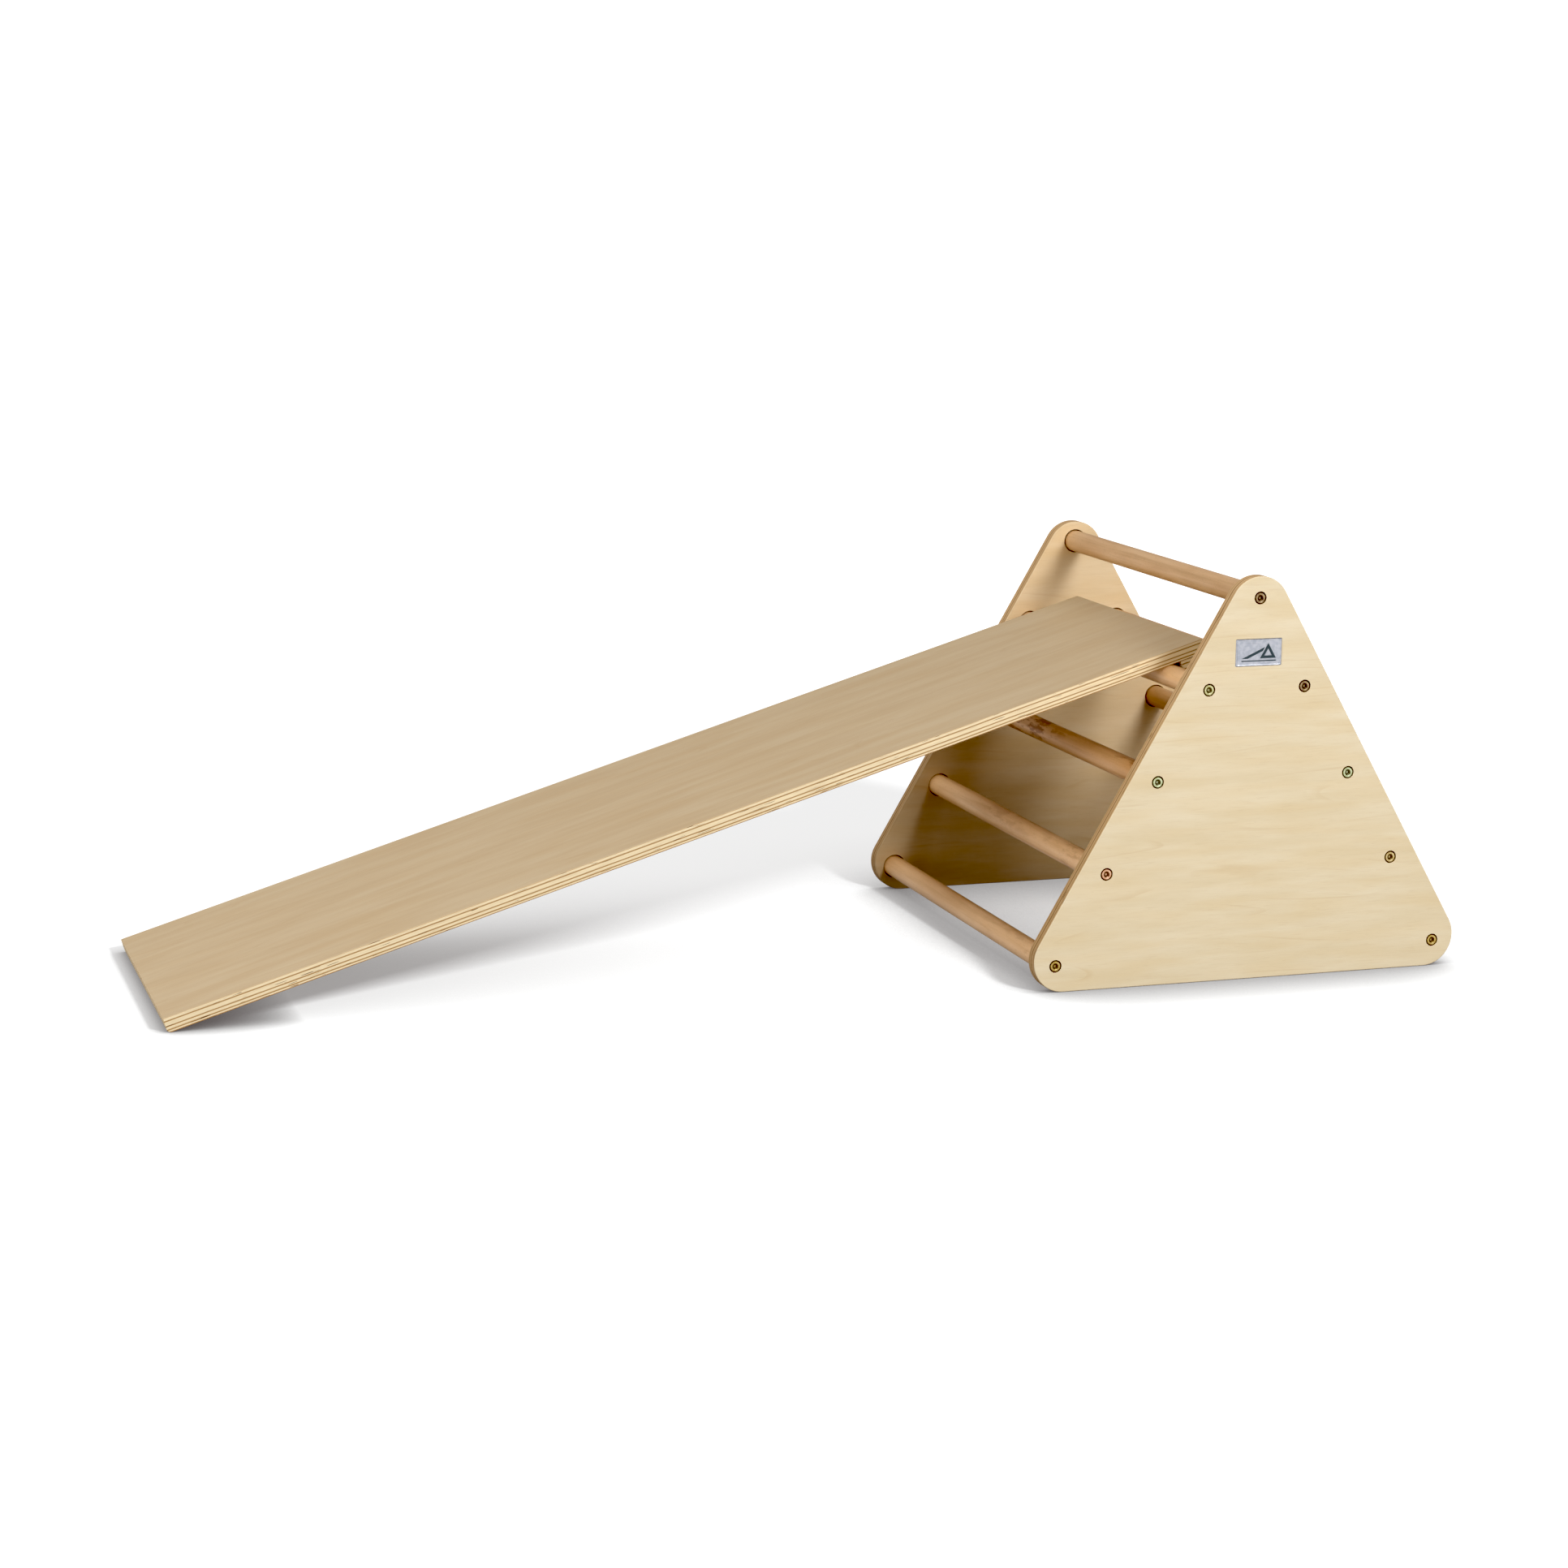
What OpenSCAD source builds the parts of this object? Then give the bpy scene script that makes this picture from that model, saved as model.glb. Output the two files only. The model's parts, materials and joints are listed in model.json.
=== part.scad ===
// Toddler climbing triangle with a hook-on slide board.
//
// Two solid plywood side panels stand on the floor. Nine round hardwood rungs are let into
// them and bolted from outside: one along the top and four down each slope. A plain board
// rests its foot on the floor and hangs by a cleat on the first rung below the top.
//
// The origin is on the floor, in the middle of the whole object's footprint.
// +X runs from the foot of the board towards the triangle, +Y across it, +Z up.

/* [Side panels] */
// Thickness of each side panel
panel_t = 18; // [15:1:24]
// Distance from the outer rung axes out to the panel's straight edges
panel_margin = 32; // [28:1:36]
// Radius of the panel's rounded corners
panel_corner_r = 38; // [38:1:50]
// Clear width between the two side panels
inner_w = 550; // [450:10:700]

/* [Rungs] */
// Diameter of each rung
rung_d = 28; // [26:1:32]
// Distance between rung axes down a slope
rung_pitch = 125; // [115:1:140]
// Depth that each rung end is let into its panel
socket_depth = 6; // [4:0.5:8]
// Clearance all round a rung end in its socket
socket_gap = 0.4; // [0.2:0.1:0.6]

/* [Bolts and inserts] */
// Diameter of the bolt's thread
bolt_d = 6; // [5:0.5:6]
// Length of the bolt under its head
bolt_l = 30; // [25:1:35]
// Diameter of the bolt's flat head
head_d = 14.6; // [12:0.1:16]
// Thickness of the bolt's head
head_t = 2.4; // [2:0.1:3]
// Width across the flats of the hex key socket
hex_af = 4; // [3:0.5:4]
// Outer diameter of the threaded insert
insert_d = 10; // [9:0.5:11]
// Length of the threaded insert
insert_l = 18; // [12:1:20]

/* [Slide board] */
// Length of the board
board_l = 1320; // [1200:10:1500]
// Width of the board
board_w = 390; // [300:10:420]
// Thickness of the board
board_t = 18; // [15:1:21]
// Length of board past the rung that it hangs on
board_overhang = 48; // [44:1:54]
// How far the board sits off the middle, towards the far panel
board_shift = 6; // [0:1:20]
// Radius of the rounded lower edge at the foot
foot_r = 5; // [3:0.5:7]

/* [Hook cleat] */
// Thickness of the cleat under the board
cleat_t = 18; // [15:1:18]
// Clearance between the cleat and the rung that it hooks on
cleat_gap = 1; // [0.5:0.1:2]
// Number of screws along the cleat
cleat_screw_count = 4; // [3:1:6]

/* [Badge] */
// Length of the badge
badge_l = 60; // [46:1:70]
// Height of the badge
badge_h = 33; // [24:1:36]
// Distance from the top bolt down to the middle of the badge
badge_drop = 65; // [55:1:75]

/* [Hidden] */
$fn = 64;

// Clearances and small standard sizes
fit_gap = 0.05;        // radial clearance of a bolt in its insert, or an insert in its rung
recess_gap = 0.4;      // radial clearance of a bolt head in its recess
recess_sink = 0.3;     // depth of a bolt head below the panel's face
shank_hole_d = 6.8;    // clearance hole for the bolt in the panel
bore_spare = 4;        // depth of the rung's bore past the bolt and its insert
rest_gap = 0.3;        // gap between the board and the rung that it hangs on
cut = 1;               // how far a cutting tool runs past the face that it cuts
arc_spare = 0.02;      // extra radius that lets a corner arc cross its straight sides cleanly

// Colours
birch_colour = [0.91, 0.84, 0.70];
board_colour = [0.80, 0.72, 0.58];
beech_colour = [0.77, 0.61, 0.44];
zinc_colour = [0.66, 0.60, 0.38];
steel_colour = [0.60, 0.61, 0.62];
silver_colour = [0.80, 0.81, 0.83];
teal_colour = [0.05, 0.30, 0.30];

// The triangle of rung axes, equilateral, with its base parallel to the floor
slope = 60;
rungs_per_slope = 4;
rung_r = rung_d / 2;
side_l = rungs_per_slope * rung_pitch;
base_z = panel_margin;
top_z = base_z + side_l * sin(slope);

// Centres of the panel's corner arcs: the rung triangle, pulled in along its angle bisectors
corner_inset = (panel_corner_r - panel_margin) / sin(slope / 2);
arc_x = side_l / 2 - corner_inset * cos(slope / 2);
arc_base_z = base_z + corner_inset * sin(slope / 2);
arc_top_z = top_z - corner_inset;
arc_r = panel_corner_r + arc_spare;

// The board's resting slope, from the height of the rung that it hangs on
hook_z = top_z - rung_pitch * sin(slope);
contact_l = board_l - board_overhang;
under_r = rung_r + rest_gap;
foot_to_hook = norm([contact_l - foot_r, under_r + foot_r]);
board_angle = asin((hook_z - foot_r) / foot_to_hook) + atan((under_r + foot_r) / (contact_l - foot_r));

// Where the rung triangle's middle lies along X, so that the whole object is centred on the origin
hook_dx = -rung_pitch * cos(slope);
heel_dx = hook_dx - contact_l * cos(board_angle) - under_r * sin(board_angle);
least_dx = heel_dx - board_t * sin(board_angle);
most_dx = arc_x + arc_r;
centre_x = -(least_dx + most_dx) / 2;

// The board's lower corner at its foot, before that edge is rounded
heel_x = centre_x + heel_dx;
heel_z = foot_r * (1 - sin(board_angle) - cos(board_angle));

// Distances across the object
face_y = inner_w / 2;
outer_y = face_y + panel_t;
recess_t = head_t + recess_sink;
rung_end_y = face_y + socket_depth;
bolt_seat_y = outer_y - recess_t;
bolt_tip_y = bolt_seat_y - bolt_l;

// The cleat, in the board's own directions
cleat_start = contact_l + rung_r + cleat_gap;
cleat_l = board_l - cleat_start;
screw_d = 4;
screw_head_d = 8;
screw_head_t = 2.2;
screw_l = 30;
screw_inset = 45;
drive_d = 2.4;
drive_t = 1.4;

// The badge
badge_t = 1.2;
badge_rim = 2.2;
badge_floor_t = 0.8;
badge_corner_r = 1;
icon_t = 0.3;
icon_scale = min(badge_l / 60, badge_h / 33);
icon_h = 18 * icon_scale;
icon_bar = 3.2 * icon_scale;
icon_gap = 1.6 * icon_scale;
icon_reach = 24 * icon_scale;
icon_angle = 24;
icon_line_t = 1.3 * icon_scale;
icon_line_drop = 3.5 * icon_scale;

// Middle of each rung: [side, step], side -1 for the front slope, 1 for the rear one
function rung_at(side, step) = [
    centre_x + side * step * rung_pitch * cos(slope),
    top_z - step * rung_pitch * sin(slope),
];
RUNG_PLACES = [
    [0, 0],
    for (side = [-1, 1], step = [1 : rungs_per_slope]) [side, step],
];

// Puts children at every rung's axis, with their own axis turned along Y.
// way is -1 at the near panel and 1 at the far one: +Z of the children points outwards.
module at_rung_ends(way) {
    for (place = RUNG_PLACES) {
        middle = rung_at(place[0], place[1]);
        translate([middle[0], 0, middle[1]])
            rotate([-90 * way, 0, 0])
                children();
    }
}

// Puts children in the board's own directions: X up the slope, Z out of its top face
module on_board() {
    translate([heel_x, board_shift, heel_z])
        rotate([0, -board_angle, 0])
            children();
}

// What is cut off one sharp corner of a panel to leave its arc, with the arc's centre at zero.
// The corner points along +X.
module corner_waste() {
    reach = panel_corner_r + cut;
    half_turn = 90 - slope / 2;
    difference() {
        polygon([
            [0, 0],
            reach * [cos(half_turn), -sin(half_turn)],
            [reach / cos(half_turn), 0],
            reach * [cos(half_turn), sin(half_turn)],
        ]);
        circle(r = arc_r, $fn = 96);
    }
}

// Outline of a side panel, with X along the floor and Y up
module panel_outline() {
    sharp_x = side_l / 2 + panel_margin / tan(slope / 2);
    difference() {
        polygon([[-sharp_x, 0], [sharp_x, 0], [0, sharp_x * tan(slope)]]);
        translate([0, arc_top_z])
            rotate(90)
                corner_waste();
        for (side = [0, 1])
            mirror([side, 0])
                translate([arc_x, arc_base_z])
                    rotate(-slope / 2)
                        corner_waste();
    }
}

// A side panel with its rung sockets, bolt holes and head recesses
module side_panel(way) {
    color(birch_colour)
        difference() {
            translate([centre_x, way * (face_y + panel_t / 2), 0])
                rotate([90, 0, 0])
                    linear_extrude(height = panel_t, center = true)
                        panel_outline();
            at_rung_ends(way) {
                translate([0, 0, face_y - cut])
                    cylinder(d = rung_d + 2 * socket_gap, h = socket_depth + cut);
                translate([0, 0, face_y])
                    cylinder(d = shank_hole_d, h = panel_t);
                translate([0, 0, bolt_seat_y])
                    cylinder(d = head_d + 2 * recess_gap, h = recess_t + cut);
            }
        }
}

module side_panel_near() {
    side_panel(-1);
}

module side_panel_far() {
    side_panel(1);
}

// A round rung, bored at both ends for its threaded inserts
module rung(side, step) {
    middle = rung_at(side, step);
    bore_end_y = min(bolt_tip_y, rung_end_y - insert_l) - bore_spare;
    color(beech_colour)
        translate([middle[0], 0, middle[1]])
            rotate([-90, 0, 0])
                difference() {
                    cylinder(d = rung_d, h = 2 * rung_end_y, center = true);
                    for (way = [-1, 1])
                        scale([1, 1, way])
                            translate([0, 0, bore_end_y])
                                cylinder(d = insert_d + 2 * fit_gap, h = rung_end_y - bore_end_y + cut);
                }
}

module rung_top() {
    rung(0, 0);
}

module rung_front_1() {
    rung(-1, 1);
}

module rung_front_2() {
    rung(-1, 2);
}

module rung_front_3() {
    rung(-1, 3);
}

module rung_front_4() {
    rung(-1, 4);
}

module rung_rear_1() {
    rung(1, 1);
}

module rung_rear_2() {
    rung(1, 2);
}

module rung_rear_3() {
    rung(1, 3);
}

module rung_rear_4() {
    rung(1, 4);
}

// A flat-headed bolt with a cone-mouthed hex key socket
module bolt() {
    hex_r = hex_af / (2 * cos(30));
    hex_depth = 2;
    mouth_r = 3.6;
    rim = 0.5;
    difference() {
        union() {
            cylinder(d = bolt_d - 2 * fit_gap, h = bolt_l + head_t / 2);
            translate([0, 0, bolt_l])
                cylinder(d = head_d, h = head_t - rim);
            translate([0, 0, bolt_l + head_t - rim])
                cylinder(d1 = head_d, d2 = head_d - 2 * rim, h = rim);
        }
        translate([0, 0, bolt_l + head_t - hex_depth])
            cylinder(r = hex_r, h = hex_depth + cut, $fn = 6);
        translate([0, 0, bolt_l + head_t - (mouth_r - hex_r) / 2])
            cylinder(r1 = hex_r, r2 = mouth_r, h = (mouth_r - hex_r) / 2);
    }
}

module bolts(way) {
    color(zinc_colour)
        at_rung_ends(way)
            translate([0, 0, bolt_tip_y])
                bolt();
}

module bolts_near() {
    bolts(-1);
}

module bolts_far() {
    bolts(1);
}

// The threaded inserts that hold the bolts, flush with the rungs' ends
module inserts(way) {
    color(steel_colour)
        at_rung_ends(way)
            translate([0, 0, rung_end_y - insert_l])
                difference() {
                    cylinder(d = insert_d, h = insert_l);
                    translate([0, 0, -cut])
                        cylinder(d = bolt_d, h = insert_l + 2 * cut);
                }
}

module inserts_near() {
    inserts(-1);
}

module inserts_far() {
    inserts(1);
}

// Positions of the cleat's screws across the board
function screw_y(i) = (board_w / 2 - screw_inset) * (2 * i / (cleat_screw_count - 1) - 1);

// Puts children at each cleat screw: +Z is the board's, zero is the cleat's underside
module at_screws() {
    for (i = [0 : cleat_screw_count - 1])
        translate([cleat_start + cleat_l / 2, screw_y(i), -cleat_t])
            children();
}

// A countersunk wood screw driven up from below, with grow added to its radius
module screw_body(grow) {
    cylinder(d1 = screw_head_d + 2 * grow, d2 = screw_d + 2 * grow, h = screw_head_t);
    cylinder(d = screw_d + 2 * grow, h = screw_l + grow);
}

// The plain slide board, its lower edge rounded where it meets the floor
module slide_board() {
    color(board_colour)
        on_board()
            difference() {
                rotate([90, 0, 0])
                    linear_extrude(height = board_w, center = true) {
                        translate([foot_r, 0])
                            square([board_l - foot_r, board_t]);
                        translate([0, foot_r])
                            square([foot_r + cut, board_t - foot_r]);
                        translate([foot_r, foot_r])
                            circle(r = foot_r);
                    }
                at_screws()
                    screw_body(fit_gap);
            }
}

// The cleat across the board's underside, which hooks behind the rung
module hook_cleat() {
    color(birch_colour)
        on_board()
            difference() {
                translate([cleat_start, -board_w / 2, -cleat_t])
                    cube([cleat_l, board_w, cleat_t]);
                at_screws()
                    screw_body(fit_gap);
            }
}

module cleat_screws() {
    color(steel_colour)
        on_board()
            at_screws()
                difference() {
                    screw_body(0);
                    translate([0, 0, -cut])
                        cylinder(d = drive_d, h = drive_t + cut, $fn = 6);
                }
}

// Puts children on the near panel's outer face: X along it, Y up, Z outwards
module on_badge_spot() {
    translate([centre_x, -outer_y, top_z - badge_drop])
        rotate([90, 0, 0])
            children();
}

// Outline of the badge, pulled in by inset on every side
module badge_outline(inset) {
    r = badge_corner_r;
    l = badge_l - 2 * inset;
    h = badge_h - 2 * inset;
    square([l - 2 * r, h], center = true);
    square([l, h - 2 * r], center = true);
    for (x = [-1, 1], y = [-1, 1])
        translate([x * (l / 2 - r), y * (h / 2 - r)])
            circle(r = r);
}

// A metal badge plate with a raised rim
module badge_plate() {
    color(silver_colour)
        on_badge_spot()
            difference() {
                linear_extrude(height = badge_t)
                    badge_outline(0);
                translate([0, 0, badge_floor_t])
                    linear_extrude(height = badge_t)
                        badge_outline(badge_rim);
            }
}

// A plain pictogram on the badge: a triangle frame with a sloping bar at its left, over a line
module badge_icon() {
    half = icon_h / sqrt(3);
    hole_h = icon_h - 3 * icon_bar;
    hole_half = hole_h / sqrt(3);
    foot_x = -half - icon_reach;
    rise = tan(icon_angle);
    // Height at which a line that climbs from foot meets the frame's left side, less a gap
    function end_z(foot) = rise * (-half - icon_gap - foot) / (1 - rise / tan(slope));
    function end_point(foot) = [foot + end_z(foot) / rise, end_z(foot)];
    lower_foot_x = foot_x + icon_bar / sin(icon_angle);
    color(teal_colour)
        on_badge_spot()
            translate([icon_reach / 2, (icon_line_drop - icon_h) / 2, badge_floor_t])
                linear_extrude(height = icon_t) {
                    translate([foot_x, -icon_line_drop])
                        square([half - foot_x, icon_line_t]);
                    difference() {
                        polygon([[-half, 0], [half, 0], [0, icon_h]]);
                        translate([0, icon_bar])
                            polygon([[-hole_half, 0], [hole_half, 0], [0, hole_h]]);
                    }
                    polygon([
                        [foot_x, 0],
                        [lower_foot_x, 0],
                        end_point(lower_foot_x),
                        end_point(foot_x),
                    ]);
                }
}

side_panel_near();
side_panel_far();
rung_top();
rung_front_1();
rung_front_2();
rung_front_3();
rung_front_4();
rung_rear_1();
rung_rear_2();
rung_rear_3();
rung_rear_4();
bolts_near();
bolts_far();
inserts_near();
inserts_far();
slide_board();
hook_cleat();
cleat_screws();
badge_plate();
badge_icon();
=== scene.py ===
import json
import math

import bmesh
import bpy
from mathutils import Matrix, Vector
from mathutils.geometry import tessellate_polygon

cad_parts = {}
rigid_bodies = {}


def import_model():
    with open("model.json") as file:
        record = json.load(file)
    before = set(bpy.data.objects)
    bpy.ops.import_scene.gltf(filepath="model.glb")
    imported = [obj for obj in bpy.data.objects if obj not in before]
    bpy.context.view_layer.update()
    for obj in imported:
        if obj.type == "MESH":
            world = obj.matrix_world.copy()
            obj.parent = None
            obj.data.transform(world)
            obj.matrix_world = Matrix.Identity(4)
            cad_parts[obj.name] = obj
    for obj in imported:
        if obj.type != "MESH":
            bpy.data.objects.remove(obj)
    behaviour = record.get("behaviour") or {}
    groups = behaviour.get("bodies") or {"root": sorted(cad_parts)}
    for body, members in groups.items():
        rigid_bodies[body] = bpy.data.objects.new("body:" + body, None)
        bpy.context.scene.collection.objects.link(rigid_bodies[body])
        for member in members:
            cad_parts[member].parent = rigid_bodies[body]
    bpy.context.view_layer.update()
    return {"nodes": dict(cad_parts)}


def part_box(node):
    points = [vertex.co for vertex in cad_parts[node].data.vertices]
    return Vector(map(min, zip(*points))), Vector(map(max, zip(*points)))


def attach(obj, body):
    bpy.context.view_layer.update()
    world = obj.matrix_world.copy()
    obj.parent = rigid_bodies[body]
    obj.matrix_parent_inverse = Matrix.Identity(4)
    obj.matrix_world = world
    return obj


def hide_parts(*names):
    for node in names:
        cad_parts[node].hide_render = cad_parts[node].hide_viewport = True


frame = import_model()

MM = 0.001


# ---------------------------------------------------------------- camera

LENS_MM = 76.88
SENSOR_MM = 36
YAW, PITCH, ROLL = (math.radians(angle) for angle in (17.93, -11.15, 0.61))
EYE = (-1.24193, -3.86578, 1.01029)


def turned_basis(yaw, pitch, roll):
    """Right, up and forward of a camera that looks along +Y when every angle is zero."""
    forward = Vector((math.sin(yaw) * math.cos(pitch), math.cos(yaw) * math.cos(pitch), math.sin(pitch)))
    level = Vector((math.cos(yaw), -math.sin(yaw), 0))
    upright = level.cross(forward)
    right = math.cos(roll) * level + math.sin(roll) * upright
    up = math.cos(roll) * upright - math.sin(roll) * level
    return right, up, forward


def make_camera():
    data = bpy.data.cameras.new("camera")
    data.sensor_width = SENSOR_MM
    data.lens = LENS_MM
    data.clip_start = 0.1
    data.clip_end = 100
    right, up, forward = turned_basis(YAW, PITCH, ROLL)
    place = Matrix((right, up, -forward)).transposed().to_4x4()
    place.translation = EYE
    camera = bpy.data.objects.new("camera", data)
    camera.matrix_world = place
    bpy.context.scene.collection.objects.link(camera)
    bpy.context.scene.camera = camera


make_camera()


# ---------------------------------------------------------------- where the CAD puts things

def node_points(name):
    return [v.co.copy() for v in frame["nodes"][name].data.vertices]


def axis_of(rung):
    low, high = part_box(rung)
    return (low + high) / 2


RUNGS = ["rung_top"] + [f"rung_{side}_{step}" for side in ("front", "rear") for step in (1, 2, 3, 4)]
AXES = {name: axis_of(name) for name in RUNGS}
RUNG_LOW, RUNG_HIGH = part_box("rung_top")
RUNG_R = (RUNG_HIGH.z - RUNG_LOW.z) / 2
RUNG_END = RUNG_HIGH.y
PANEL_LOW, PANEL_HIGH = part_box("side_panel_far")
PANEL_T = PANEL_HIGH.y - PANEL_LOW.y
PANEL_CORNER = 38.02 * MM
BOLT_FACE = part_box("bolts_far")[1].y
MIDDLE_X = AXES["rung_top"].x


def board_frame():
    """Matrix whose X runs up the board, Z out of its top face, from the lower corner at its foot,
    and the board's length, thickness and width."""
    points = node_points("slide_board")
    foot = min(points, key=lambda p: p.x)
    crest = max(points, key=lambda p: p.z)
    along = Vector((crest.x - foot.x, 0, crest.z - foot.z)).normalized()
    out = Vector((-along.z, 0, along.x))
    length = max(p.dot(along) for p in points) - min(p.dot(along) for p in points)
    thickness = max(p.dot(out) for p in points) - min(p.dot(out) for p in points)
    place = Matrix((along, Vector((0, 1, 0)), out)).transposed().to_4x4()
    low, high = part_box("slide_board")
    place.translation = Vector((foot.x, (low.y + high.y) / 2, foot.z)) - thickness * out
    return place, length, thickness, high.y - low.y


BOARD, BOARD_L, BOARD_T, BOARD_W = board_frame()


# ---------------------------------------------------------------- node trees

def add(tree, kind, inputs=None, **settings):
    """A shader node with its settings, and with its inputs either linked or set."""
    made = tree.nodes.new("ShaderNode" + kind)
    for name, value in settings.items():
        setattr(made, name, value)
    for name, value in (inputs or {}).items():
        if isinstance(value, bpy.types.NodeSocket):
            tree.links.new(value, made.inputs[name])
        else:
            made.inputs[name].default_value = value
    return made


def srgb(red, green, blue):
    """A colour given as 0-255 screen values, as linear RGBA."""
    def linear(c):
        c = c / 255
        return c / 12.92 if c <= 0.04045 else ((c + 0.055) / 1.055) ** 2.4
    return (linear(red), linear(green), linear(blue), 1)


def toned(colour, red, green, blue):
    return (colour[0] * red, colour[1] * green, colour[2] * blue, 1)


def darker(colour, share):
    return toned(colour, share, share, share)


class Finish:
    """A material under construction, with short names for the nodes that it uses most.
    grain is the matrix of the piece's own directions, where its mesh is in the row frame."""

    def __init__(self, name, grain=None):
        self.material = bpy.data.materials.new(name)
        self.material.use_nodes = True
        self.tree = self.material.node_tree
        self.shader = self.tree.nodes["Principled BSDF"]
        self.place = add(self.tree, "TexCoord").outputs["Object"]
        if grain:
            back = grain.inverted()
            self.place = add(self.tree, "Mapping", {
                "Vector": self.place, "Location": back.translation, "Rotation": back.to_euler(),
            }).outputs[0]

    def noise(self, scale, detail=2.0, rough=0.5, distortion=0.0, offset=(0, 0, 0), at=None):
        """Noise with scale features to the metre along each direction of the piece, or of at."""
        spot = add(self.tree, "Mapping", {"Vector": at or self.place, "Scale": scale, "Location": offset})
        return add(self.tree, "TexNoise", {
            "Vector": spot.outputs[0], "Scale": 1.0, "Detail": detail,
            "Roughness": rough, "Distortion": distortion,
        }).outputs["Fac"]

    def bent(self, scale, amount, offset=(0, 0, 0)):
        """The piece's own coordinates, swaying along Y."""
        wander = self.maths("SUBTRACT", self.noise(scale, 1, offset=offset), 0.5)
        sway = self.maths("MULTIPLY", wander, amount)
        push = add(self.tree, "CombineXYZ", {"Y": sway}).outputs[0]
        return add(self.tree, "VectorMath", {0: self.place, 1: push}, operation="ADD").outputs[0]

    def maths(self, operation, a, b=0.0, c=0.0):
        return add(self.tree, "Math", {0: a, 1: b, 2: c}, operation=operation).outputs[0]

    def span(self, value, low, high, to_low=0.0, to_high=1.0):
        """value between low and high as a smooth step from to_low to to_high."""
        return add(self.tree, "MapRange", {
            "Value": value, "From Min": low, "From Max": high, "To Min": to_low, "To Max": to_high,
        }, interpolation_type="SMOOTHSTEP").outputs[0]

    def mix(self, factor, a, b, blend="MIX"):
        made = add(self.tree, "Mix", {0: factor, 6: a, 7: b}, data_type="RGBA", blend_type=blend)
        return made.outputs[2]

    def axis(self, index):
        return add(self.tree, "SeparateXYZ", {0: self.place}).outputs[index]

    def ramp(self, value, stops):
        """value as a colour, by way of (position, colour) stops."""
        made = add(self.tree, "ValToRGB", {0: value})
        elements = made.color_ramp.elements
        while len(elements) < len(stops):
            elements.new(1.0)
        for element, (position, colour) in zip(elements, stops):
            element.position = position
            element.color = colour
        return made.outputs[0]

    def bump(self, height, strength, distance):
        made = add(self.tree, "Bump", {"Height": height, "Strength": strength, "Distance": distance})
        self.tree.links.new(made.outputs[0], self.shader.inputs["Normal"])

    def finish(self, colour, roughness, **uniform):
        """Links the colour and roughness, and sets the rest on the shader itself."""
        self.tree.links.new(colour, self.shader.inputs["Base Color"])
        self.tree.links.new(roughness, self.shader.inputs["Roughness"])
        for name, value in uniform.items():
            self.shader.inputs[name.replace("_", " ")].default_value = value
        return self.material


# Painted shade in the gap round a rung's end fades between these distances from the socket's middle, and
# between these heights above the panel's inner face
GAP_SHADE_INNER, GAP_SHADE_OUTER = 15.2 * MM, 15.9 * MM
GAP_SHADE_FULL, GAP_SHADE_END = 7 * MM, 9 * MM


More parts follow.
